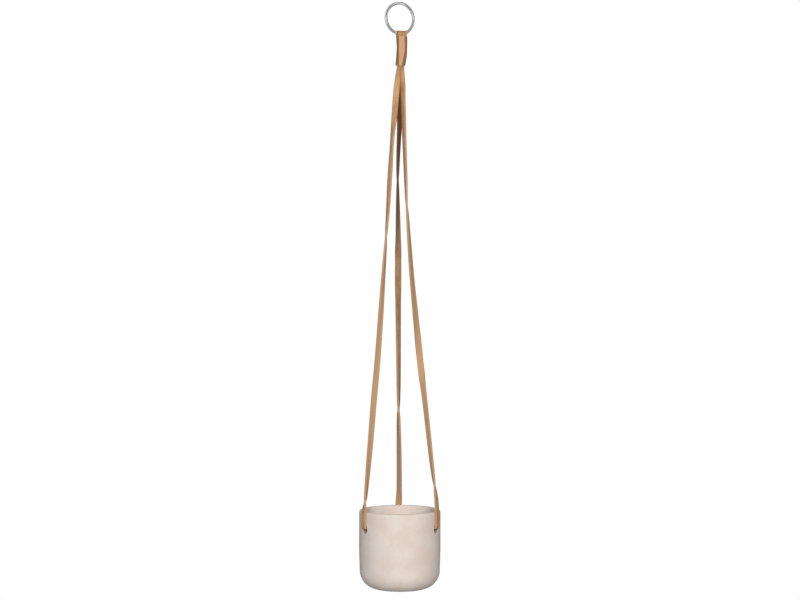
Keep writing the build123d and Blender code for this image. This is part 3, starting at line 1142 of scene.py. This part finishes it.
RIGHT_ROUTE: Route = (
    (0.000, 0.0, 0.0, 27.0), (0.023, 1.6, 0.0, -25.0), (0.045, 2.1, 0.0, -52.0),
    (0.066, 3.4, 0.0, -57.0), (0.090, 4.4, 0.0, -60.0), (0.133, 6.0, 0.0, -63.0),
    (0.174, 7.6, 0.0, -68.0), (0.214, 8.9, 0.0, -70.0), (0.254, 10.4, 0.0, -75.0),
    (0.292, 12.1, 0.0, -81.0), (0.330, 12.9, 0.0, -99.0), (0.411, 13.3, 0.0, -114.0),
    (0.479, 13.4, 0.0, -120.0), (0.580, 11.6, 0.0, -138.0), (0.663, 9.9, 0.0, -180.0),
    (0.715, 8.1, 0.0, -226.0), (0.748, 6.7, 0.0, -235.0), (0.839, 4.0, 0.0, -240.0),
    (0.883, 2.8, 0.0, -246.0), (0.924, 1.1, 0.0, -257.0), (0.949, -0.1, 0.0, -286.0),
    (0.973, -0.7, 0.0, -294.0), (1.000, 0.0, 0.0, -298.0),
)
BACK_ROUTE: Route = (
    (0.000, 0.0, 0.0, -153.0), (0.023, -1.6, 0.0, -140.0), (0.045, -2.6, 0.3, -133.0),
    (0.066, -2.8, 0.5, -129.0), (0.133, -2.3, 0.1, -121.0), (0.155, -2.0, 0.8, -117.0),
    (0.190, -1.5, 2.0, -110.0), (0.235, -0.8, 3.0, -101.0), (0.264, -0.5, 3.0, -84.0),
    (0.311, 0.0, 2.7, -70.0), (0.385, 0.0, 1.8, -50.0), (0.439, 0.0, 1.8, 0.0),
    (0.524, 0.0, 1.4, 44.0), (0.614, 0.0, 0.6, 55.0), (0.715, 0.0, 0.2, 65.0),
    (0.760, 0.0, 0.1, 76.0), (0.793, 0.0, 0.0, 110.0), (0.861, 0.0, -1.1, 124.0),
    (0.966, 0.0, -1.7, 132.0), (1.000, 0.0, 0.0, 182.0),
)
# Painted shade on the straps: below the wrap, on the back strap behind the front two, and mid right
# strap.
LEFT_SHADE: ShadeTable = ((0.0, 0.25), (0.035, 0.0))
RIGHT_SHADE: ShadeTable = ((0.0, 0.25), (0.035, 0.0), (0.36, 0.0), (0.45, 0.15), (0.52, 0.2), (0.64, 0.2),
                  (0.74, 0.0))
BACK_SHADE: ShadeTable = ((0.12, 1.0), (0.22, 0.92), (0.29, 0.92), (0.33, 0.8), (0.37, 0.54), (0.44, 0.22),
                 (0.56, 0.12), (0.66, 0.0))


@dataclass
class StrapRun:
    """A strap from inside the wrap, twisting down to the pot, over its wall and in at its hole.

    Args:
        name: the piece's name.
        node: the solid that it stands for.
        column: its fold's place on the ring.
        layer: the fold's leg that it carries on from.
        azimuth: where its hole is.
        route: share of the way down, bow towards the axis, bow to the right (in mm), and the
            azimuth its face turns to.
        shade_table: share of the way down, and how far painted shade darkens the leather there.
    """

    name: str
    node: str
    column: Column
    layer: Layer
    azimuth: float
    route: Route
    shade_table: ShadeTable
    lead: float = 0.5 * MM
    spread: float = 45.0 * MM
    cup: float = 0.45 * MM
    cup_sway: float = 0.4
    cup_waves: float = 31.0  # radians to the metre
    cup_level: float = 0.33  # mean of the cupping's square law
    flat_from: float = 0.96  # of the way down
    wall_lead: float = 2.2  # bends above the hole
    inside: float = 2.0 * MM
    twist_reach: float = 150.0 * MM
    span_steps: int = 18
    stations: int = 520
    turn_reach: int = 4
    outline: StrapOutline = field(default_factory=StrapOutline)

    def controls(self) -> Array:
        """Place the control points of the strap's line: the wrap, the route, the wall and the hole.

        Returns:
            n x 3 places.
        """
        rows = np.array(self.route)
        start = HANG.leg_point(self.column, self.layer, HANG.tail_end_z - self.lead)
        neck = HANG.leg_point(self.column, self.layer, HANG.neck_z)
        out, right = outward(self.azimuth), rightward(self.azimuth)
        meet = out * HANG.strap_on_wall + UP * HANG.meet_z
        free = between(neck, meet, rows[:, :1])
        free = free - out * rows[:, 1:2] * MM + right * rows[:, 2:3] * MM
        bend = HANG.strap_bend + HANG.strap_thickness / 2
        inward = np.array([0.0, 0.0, 0.0, bend, HANG.pot_wall + self.inside])[:, None]
        height = np.array([self.wall_lead * bend, bend, 0.0, 0.0, 0.0])[:, None]
        wall = out * (HANG.strap_on_wall - inward) + UP * (HANG.strap_in_hole_z + height)
        return np.vstack([[start], free, wall])

    def build(self) -> tuple[Piece, Array]:
        """Carry the strap's outline along its line, turning it by the route's azimuths.

        The face's azimuth runs smoothly between the route's values by height, the section grows
        from its gathered size to the full strap below the wrap, and the strap is slightly cupped:
        its face sinks by the square of the distance from its middle.

        Returns:
            The strap's object and its middle line.
        """
        spline = spline_points(self.name + "_line", self.controls(), self.span_steps)
        line, even = evenly(spline, self.stations)
        share = (HANG.neck_z - line[:, 2]) / (HANG.neck_z - HANG.meet_z)
        shares, _, _, azimuths = zip(*self.route)
        turn = smoothed(np.interp(share, shares, azimuths), self.turn_reach)
        grown = ease(even - even[np.argmax(share > 0)], 0.0, self.spread)
        leg_width, leg_thickness = HANG.leg(HANG.wrap_foot_z)
        width = between(leg_width, HANG.strap_width, grown)
        thickness = between(leg_thickness, HANG.strap_thickness, grown)
        along = unit(np.gradient(line, axis=0))
        across = square_to(rightward(turn), along)
        x, y = self.outline.place(width, thickness)
        sway = 1 - self.cup_sway + self.cup_sway * np.sin(even * self.cup_waves + self.azimuth)
        curl = self.cup * grown * sway * (share < self.flat_from)
        y = y - curl[:, None] * ((2 * x / width[:, None]) ** 2 - self.cup_level)
        points = carried(line, (across, np.cross(along, across)), (x, y))
        marks = self.outline.marks(even)
        marks["painted_shade"] = self.painted_shade(line[:, 2:])
        return Lattice(points).mesh(self.name, marks), line

    def painted_shade(self, z: Array) -> Array:
        """Say how far painted shade darkens the leather at a height.

        Args:
            z: the heights.

        Returns:
            A share for each height.
        """
        below = (HANG.wrap_foot_z - z) / (HANG.wrap_foot_z - HANG.rim_z)
        shares, amounts = zip(*self.shade_table)
        return np.interp(below, shares, amounts)

    def dress(self, piece: Piece, line: Array, leather: Material) -> None:
        """Finish the strap, stand it for its solid and bake its place into its mesh.

        Args:
            piece: the strap's object.
            line: its middle line; not used.
            leather: its finish.
        """
        dress(piece, leather, "strap_leather", self.node)
        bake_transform(piece)


@dataclass
class StrapKnot:
    """The knot inside the pot that stops a strap's end, with the cut end hanging from it.

    Its own places are to the right, down and in from its seat on the wall, seen from outside.

    Args:
        name: the piece's name.
        node: the solid that it stands for.
        azimuth: where its hole is.
    """

    name: str
    node: str
    azimuth: float
    wide: float = 5.6 * MM
    swing: float = 3.6 * MM
    deep: float = 8.6 * MM
    weave: float = 4.14 * MM
    open_ends: Pair = (0.35, 0.25)  # radians
    start: float = -1.0 * MM
    tail: Place = (2.0 * MM, 30.0 * MM, -1.5 * MM)
    soften: int = 9
    tail_loose: Pair = (26.0 * MM, 12.0 * MM)
    held: float = 9.0 * MM
    squeeze: Pair = (0.14, 0.2)  # of the width and of the thickness
    seat_half: float = 8.0 * MM
    points: tuple[int, int, int] = (14, 260, 40)  # along the lead, the loops and the tail
    stations: int = 340
    outline: StrapOutline = field(default_factory=StrapOutline)

    def line(self) -> Array:
        """Line of an overhand knot.

        A trefoil left open: twice round an axis while it weaves three times in and out, then
        straight down into the tail. The first stretch comes from the hole.

        Returns:
            n x 3 of the knot's own places.
        """
        lead, loops, tail = (np.linspace(0.0, 1.0, count)[:, None] for count in self.points)
        t = between(self.open_ends[0], ROUND - self.open_ends[1], loops)
        reach = self.wide + self.swing * np.cos(3 * t)
        core = np.hstack([reach * np.cos(2 * t), reach * np.sin(2 * t),
                          self.deep + self.weave * np.sin(3 * t)])
        whole = np.vstack([between(self.start * UP, core[0], lead[:-1]), core,
                           core[-1] + np.array(self.tail) * tail[1:]])
        return np.column_stack([smoothed(column, self.soften) for column in whole.T])

    def build(self) -> Piece:
        """Carry the strap along the knot's line, its face turned out from the knot's middle.

        The face lies flat where the strap is held in the hole and where its tail hangs loose, and
        in between the strap is squeezed.

        Returns:
            The knot's object.
        """
        line, even = evenly(self.line(), self.stations)
        along = unit(np.gradient(line, axis=0))
        far, near = self.tail_loose
        loose = ease(even, even[-1] - far, even[-1] - near)[:, None]
        held = 1 - ease(even, 0.0, self.held)[:, None]
        nudge = 1e-5  # keeps a point at the knot's very middle from having no direction
        face = unit(line - self.deep * UP + nudge) * (1 - loose) * (1 - held) + UP * loose
        face = square_to(face + np.array([0.0, 1.0, 0.0]) * held, along)
        tight = 1 - np.maximum(loose, held)[:, 0]
        width = HANG.strap_width * (1 - self.squeeze[0] * tight)
        thickness = HANG.strap_thickness * (1 - self.squeeze[1] * tight)
        section = self.outline.place(width, thickness)
        place = carried(line, (np.cross(face, along), face), section)
        right, down, deep = np.moveaxis(place, -1, 0)[..., None]
        inner = HANG.pot_radius - HANG.pot_wall
        seat = math.sqrt(inner ** 2 - self.seat_half ** 2) - HANG.strap_fit
        away = outward(self.azimuth) * (seat - np.clip(deep, self.start, None))
        points = away + right * rightward(self.azimuth) + UP * (HANG.strap_in_hole_z - down)
        return Lattice(points).mesh(self.name, self.outline.marks(even))

    def dress(self, piece: Piece, leather: Material) -> None:
        """Finish the knot, stand it for its solid and let it ride with the pot."""
        dress(piece, leather, "strap_leather", self.node)
        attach(piece, "planter")


@dataclass
class Pot:
    """The washed cement pot."""

    floor: float = 12.0 * MM
    base_round: float = 30.0 * MM
    inner_round: float = 22.0 * MM
    flare: float = 1.6 * MM
    taper: float = 1.3 * MM
    taper_over: Pair = (14.0 * MM, 72.0 * MM)
    uneven: float = 0.22 * MM
    ripples: tuple[tuple[float, ...], ...] = (  # share of 2, times round, start and climb
        (1.0, 2, 0.7, 9.0), (0.6, 5, 0.0, -31.0), (0.4, 9, 2.0, 0.0))
    calm: Pair = (20.0 * MM, 50.0 * MM)
    rim_soft: float = 6.0 * MM
    rim_wave: float = 0.5  # of the wall's unevenness
    pole: float = 0.02 * MM
    rounds: int = 288
    base_points: int = 16
    round_points: int = 24
    wall_points: int = 60
    rim_points: int = 12
    inside_points: int = 42
    floor_points: int = 20
    drill_sides: int = 72
    bar_points: int = 8
    flare_points: int = 10
    drill_deep: float = 30.0 * MM
    drill_past: float = 4.0 * MM
    # where the painted shade in the strap holes fades out, from the hole's edge
    hole_shade_edge: Pair = (-0.1 * MM, 0.6 * MM)
    crease: float = 40.0  # degrees

    def profile(self) -> Array:
        """Half section from the middle of the base, up the wall, over the rim and in to the floor.

        Straight lines joined by quarter circles: the base's edge, the rim's two sides and the
        inner corner.

        Returns:
            n x 2 radius and height.
        """
        base, rim, floor = HANG.base_z, HANG.rim_z, HANG.base_z + self.floor
        outer, inner = HANG.pot_radius, HANG.pot_radius - HANG.pot_wall
        turn = np.linspace(0.0, math.pi / 2, self.round_points)
        quick = np.linspace(0.0, math.pi / 2, self.rim_points)
        b, r, c = self.base_round, HANG.rim_round, self.inner_round
        parts = (
            (np.linspace(self.pole, outer - b, self.base_points)[:-1], base),
            (outer - b + b * np.sin(turn), base + b - b * np.cos(turn)),
            (outer, np.linspace(base + b, rim - r, self.wall_points)[1:-1]),
            (outer - r + r * np.cos(quick), rim - r + r * np.sin(quick)),
            (inner + r - r * np.sin(quick), rim - r + r * np.cos(quick)),
            (inner, np.linspace(rim - r, floor + c, self.inside_points)[1:-1]),
            (inner - c + c * np.cos(turn), floor + c - c * np.sin(turn)),
            (np.linspace(inner - c, self.pole, self.floor_points)[1:], floor),
        )
        return np.vstack([np.column_stack(np.broadcast_arrays(*part)) for part in parts])

    def shell(self) -> Piece:
        """Turn the half section round the axis, a hair uneven as hand-finished cement is.

        The unevenness is a sum of waves round the pot. The outer wall draws in a little towards
        the base.

        Returns:
            The pot's object, still without holes.
        """
        section = self.profile()
        outside = (np.arange(len(section)) < np.argmax(section[:, 1]))[:, None]
        a = angles(self.rounds)
        radius, height = section[:, :1], section[:, 1:]
        wave = sum(share * np.sin(times * a + start + climb * height)
                   for share, times, start, climb in self.ripples)
        wave = wave * self.uneven / 2 * ease(radius, *self.calm)
        low = 1.0 - ease(height, *(HANG.base_z + above for above in self.taper_over))
        outside = outside * (radius > HANG.pot_radius - self.base_round)
        radius = radius + wave - self.taper * low * outside
        near_rim = ease(height, HANG.rim_z - self.rim_soft, HANG.rim_z)
        height = height + self.rim_wave * wave * near_rim
        points = np.stack([radius * np.cos(a), radius * np.sin(a), height], axis=-1)
        return Lattice(points).mesh("pot_body")

    def drill(self, azimuth: float) -> Piece:
        """Cutter for one strap hole: a round bar that flares to the outer wall by a quarter circle.

        Args:
            azimuth: where the hole is.

        Returns:
            The cutter's object.
        """
        lip = HANG.pot_radius - self.flare
        turn = np.linspace(0.0, math.pi / 2, self.flare_points)
        straight = np.linspace(HANG.pot_radius - self.drill_deep, lip, self.bar_points)[:-1]
        reach = np.concatenate([straight, lip + self.flare * np.sin(turn),
                                [HANG.pot_radius + self.drill_past]])
        wider = np.concatenate([0 * straight, self.flare - self.flare * np.cos(turn), [self.flare]])
        radius, a = HANG.hole_radius + wider[:, None], angles(self.drill_sides)
        points = reach[:, None, None] * outward(azimuth)
        points = points + (radius * np.cos(a))[..., None] * rightward(azimuth)
        return Lattice(points + (HANG.hole_z + radius * np.sin(a))[..., None] * UP).mesh("drill")

    def build(self, azimuths: tuple[float, ...]) -> Piece:
        """Cut the strap holes out of the shell.

        Args:
            azimuths: where the holes are.

        Returns:
            The pot's object, with the cut applied to its mesh.
        """
        pot = self.shell()
        cutters = [self.drill(azimuth) for azimuth in azimuths]
        for cutter in cutters:
            cut = pot.modifiers.new("hole", "BOOLEAN")
            cut.object = cutter
            cut.operation = "DIFFERENCE"
            cut.solver = "EXACT"
        bpy.context.view_layer.update()
        whole = pot.evaluated_get(bpy.context.evaluated_depsgraph_get())
        done = bpy.data.meshes.new_from_object(whole)
        pot.modifiers.clear()
        pot.data = done
        shade_smooth(done)
        done.set_sharp_from_angle(angle=math.radians(self.crease))
        for cutter in cutters:
            bpy.data.objects.remove(cutter)
        self.paint_hole_shade(done, azimuths)
        return pot

    def paint_hole_shade(self, data: bpy.types.Mesh, azimuths: tuple[float, ...]) -> None:
        """Mark the strap holes' walls for painted shade: 1 inside a hole, fading out over its
        flared lip.

        The mark goes by a point's distance from the nearest hole's axis.

        Args:
            data: the pot's mesh.
            azimuths: where the holes are.
        """
        points, ways = read_points(data)[:, None], np.array(azimuths)
        aside = np.sum(points * rightward(ways), axis=-1)
        away = np.sum(points * outward(ways), axis=-1)
        distance = np.hypot(aside, points[..., 2] - HANG.hole_z)
        nearest = np.where(away > 0, distance, 1.0).min(axis=1)
        mark_points(data, "bore", 1.0 - ease(nearest - HANG.hole_radius, *self.hole_shade_edge))

    def dress(self, piece: Piece) -> None:
        """Finish the pot, stand it for its solid and hang it on the straps."""
        dress(piece, POT_CEMENT.make(), "pot_cement", "pot")
        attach(piece, "planter")


@dataclass
class Studio:
    """Camera, lamps, white surround and a pale floor below the pot."""

    eye: Place = (0.4 * MM, -2.9, -0.5078)
    focal: float = 75.9
    sensor: float = 36.0
    aim: Place = (0.0, 0.0, -0.5)
    key_place: Place = (0.1, -4.3, 0.45)
    key_power: float = 168.0
    back_place: Place = (-0.1, 4.3, 0.7)
    back_power: float = 65.0
    lamp_size: float = 1.6
    ambient: float = 0.24
    card: float = 1.1
    card_away: float = 1.3
    card_slope: float = 0.88
    card_grey: float = 0.03
    edge_away: float = 1.2
    edge_reach: Pair = (0.6, 3.2)
    edge_grey: float = 0.2
    edge_sides: int = 48
    floor_z: float = -1.30
    floor_reach: Pair = (3.0, 1.0 * MM)
    floor_rings: int = 30
    floor_sides: int = 64
    floor_colour: Colour = (0.86, 0.86, 0.85)
    floor_rough: float = 0.9
    floor_fade: Pair = (0.25, 0.95)
    floor_glow: Pair = (0.6, 1.0)

    def camera(self) -> None:
        """Level camera straight in front, framed as the photograph is."""
        data = bpy.data.cameras.new("camera")
        data.lens = self.focal
        data.sensor_width = self.sensor
        eye = bpy.data.objects.new("camera", data)
        eye.location = self.eye
        eye.rotation_euler = (math.pi / 2, 0.0, 0.0)
        bpy.context.scene.collection.objects.link(eye)
        bpy.context.scene.camera = eye

    def lamp(self, name: str, place: Place, power: float) -> None:
        """Hang a soft square lamp that leaves no hot spot on polished metal.

        Args:
            name: the lamp's name.
            place: where it is.
            power: its power.
        """
        data = bpy.data.lights.new(name, "AREA")
        data.size = self.lamp_size
        data.energy = power
        holder = bpy.data.objects.new(name, data)
        x, y, z = np.array(place) - np.array(self.aim)
        holder.rotation_euler = (math.atan2(math.hypot(x, y), z), 0.0, math.atan2(x, -y))
        holder.location = place
        holder.visible_glossy = False
        bpy.context.scene.collection.objects.link(holder)

    def surround(self) -> None:
        """World that is white to the camera and in gloss, and a plain level of light elsewhere."""
        world = bpy.data.worlds.new("surround")
        bpy.context.scene.world = world
        world.use_nodes = True
        tree = world.node_tree
        path = tree.nodes.new("ShaderNodeLightPath")
        seen = path.outputs["Is Camera Ray"]
        for ray in ("Is Glossy Ray", "Is Transmission Ray"):
            either = tree.nodes.new("ShaderNodeMath")
            either.operation = "MAXIMUM"
            tree.links.new(seen, either.inputs[0])
            tree.links.new(path.outputs[ray], either.inputs[1])
            seen = either.outputs[0]
        level = tree.nodes.new("ShaderNodeMapRange")
        level.inputs["To Min"].default_value = self.ambient
        level.inputs["To Max"].default_value = 1.0
        tree.links.new(seen, level.inputs["Value"])
        back = tree.nodes["Background"]
        back.inputs["Color"].default_value = (1.0, 1.0, 1.0, 1.0)
        tree.links.new(level.outputs["Result"], back.inputs["Strength"])

    def flags(self) -> None:
        """Four dark cards that only polished metal reflects, like the gaps between lamps.

        Each card is a flat square facing the ring, on a diagonal about the way that the front of
        the ring's wire mirrors the camera.
        """
        middle, across = outward(2 * HANG.ring_turn), rightward(2 * HANG.ring_turn)
        corner = np.array([(-1.0, -1.0), (1.0, -1.0), (1.0, 1.0), (-1.0, 1.0)]) * self.card / 2
        points = []
        for sx, sz in ((1, 1), (-1, 1), (-1, -1), (1, -1)):
            away = unit(middle + self.card_slope * (sx * across + sz * UP))
            level = unit(np.cross(away, UP))
            rise = np.cross(level, away)
            points.append(away * self.card_away + corner[:, :1] * level + corner[:, 1:] * rise)
        faces = np.arange(4 * len(points)).reshape(-1, 4).tolist()
        self.unseen(solid("flags", np.concatenate(points), faces, {}), self.card_grey)

    def backdrop_edge(self) -> None:
        """Grey hoop for the room round the backdrop, seen only in polished metal."""
        a, reach = angles(self.edge_sides), np.array(self.edge_reach)[:, None]
        x, z = reach * np.cos(a), reach * np.sin(a)
        points = np.stack([x, self.edge_away + 0 * x, z], axis=-1)
        self.unseen(Lattice(points, capped=False).mesh("backdrop_edge"), self.edge_grey)

    def unseen(self, piece: Piece, grey: float) -> None:
        """Paint a studio card and hide it from all but glossy rays.

        Args:
            piece: the card.
            grey: its linear grey.
        """
        book = NodeBook(piece.name + "_cloth")
        book.set(Base_Color=(grey, grey, grey), Roughness=1.0)
        piece.data.materials.append(book.material)
        piece.visible_camera = piece.visible_diffuse = piece.visible_shadow = False
        piece.visible_transmission = False

    def floor(self) -> None:
        """Pale round floor that fades to the white surround away from the object."""
        a = angles(self.floor_sides)
        reach = np.linspace(*self.floor_reach, self.floor_rings)[:, None]
        x, y = reach * np.cos(a), reach * np.sin(a)
        points = np.stack([x, y, self.floor_z + 0 * x], axis=-1)
        piece = Lattice(points, capped=False).mesh("floor")
        book = NodeBook("floor_paint")
        x, y, _ = book.add("SeparateXYZ", Vector=book.where()).outputs
        far = book.maths("SQRT", book.plus(book.times(x, x), book.times(y, y)))
        book.set(Base_Color=self.floor_colour, Roughness=self.floor_rough)
        both = book.add("MixShader", Fac=book.band(far, *self.floor_fade, *self.floor_glow))
        book.feed(both.inputs[1], book.shader.outputs["BSDF"])
        book.feed(both.inputs[2], book.add("Emission", Strength=1.0).outputs[0])
        book.feed(book.surface, both.outputs[0])
        piece.data.materials.append(book.material)
        piece.visible_diffuse = False

    def build(self) -> None:
        """Set the whole studio up."""
        bpy.context.scene.view_settings.view_transform = "Standard"
        self.camera()
        self.surround()
        self.lamp("key", self.key_place, self.key_power)
        self.lamp("back", self.back_place, self.back_power)
        self.flags()
        self.backdrop_edge()
        self.floor()


def main() -> None:
    """Build and dress every piece in order, straps first."""
    logging.basicConfig(level=logging.INFO, format="%(message)s")
    Studio().build()
    # The back strap takes the leather darkened as painted shade.
    leather, darker = STRAP_LEATHER.make(), BACK_LEATHER.make()
    left, right, back = (HANG.hole_turn + way for way in HANG.hole_ways)
    runs = (
        StrapRun("left_strap_run", "left_strap", Column.LEFT, Layer.FRONT, left,
                 LEFT_ROUTE, LEFT_SHADE),
        StrapRun("right_strap_run", "right_strap", Column.RIGHT, Layer.FRONT, right,
                 RIGHT_ROUTE, RIGHT_SHADE),
        StrapRun("back_strap_run", "back_strap", Column.LEFT, Layer.BACK, back,
                 BACK_ROUTE, BACK_SHADE),
    )
    for run in runs:
        piece, line = run.build()
        run.dress(piece, line, darker if run.layer is Layer.BACK else leather)
        LOG.info("%s: %.0f mm of strap", run.name, run_length(line)[-1] / MM)
    folds = (
        StrapFold("long_fold", Column.LEFT,
                  ("long_strap_fold", "left_strap_neck", "back_strap_neck")),
        StrapFold("short_fold", Column.RIGHT,
                  ("short_strap_fold", "right_strap_neck", "short_strap_tail")),
    )
    for fold in folds:
        fold.dress(fold.build(), leather)
        LOG.info("%s over the ring", fold.name)
    ring = HangingRing()
    ring.dress(ring.build())
    LOG.info("ring of %.0f mm wire", HANG.ring_wire / MM)
    wrap = GatherWrap()
    wrap.dress(wrap.build(), wrap.build_stitches())
    LOG.info("wrap with %d stitches", wrap.stitches)
    for side, azimuth in (("left", left), ("right", right), ("back", back)):
        knot = StrapKnot(side + "_knot_tied", side + "_knot", azimuth)
        knot.dress(knot.build(), leather)
        LOG.info("%s inside the pot", knot.name)
    pot = Pot()
    pot.dress(pot.build((left, right, back)))
    LOG.info("pot with its strap holes")


if __name__ == "__main__":
    main()
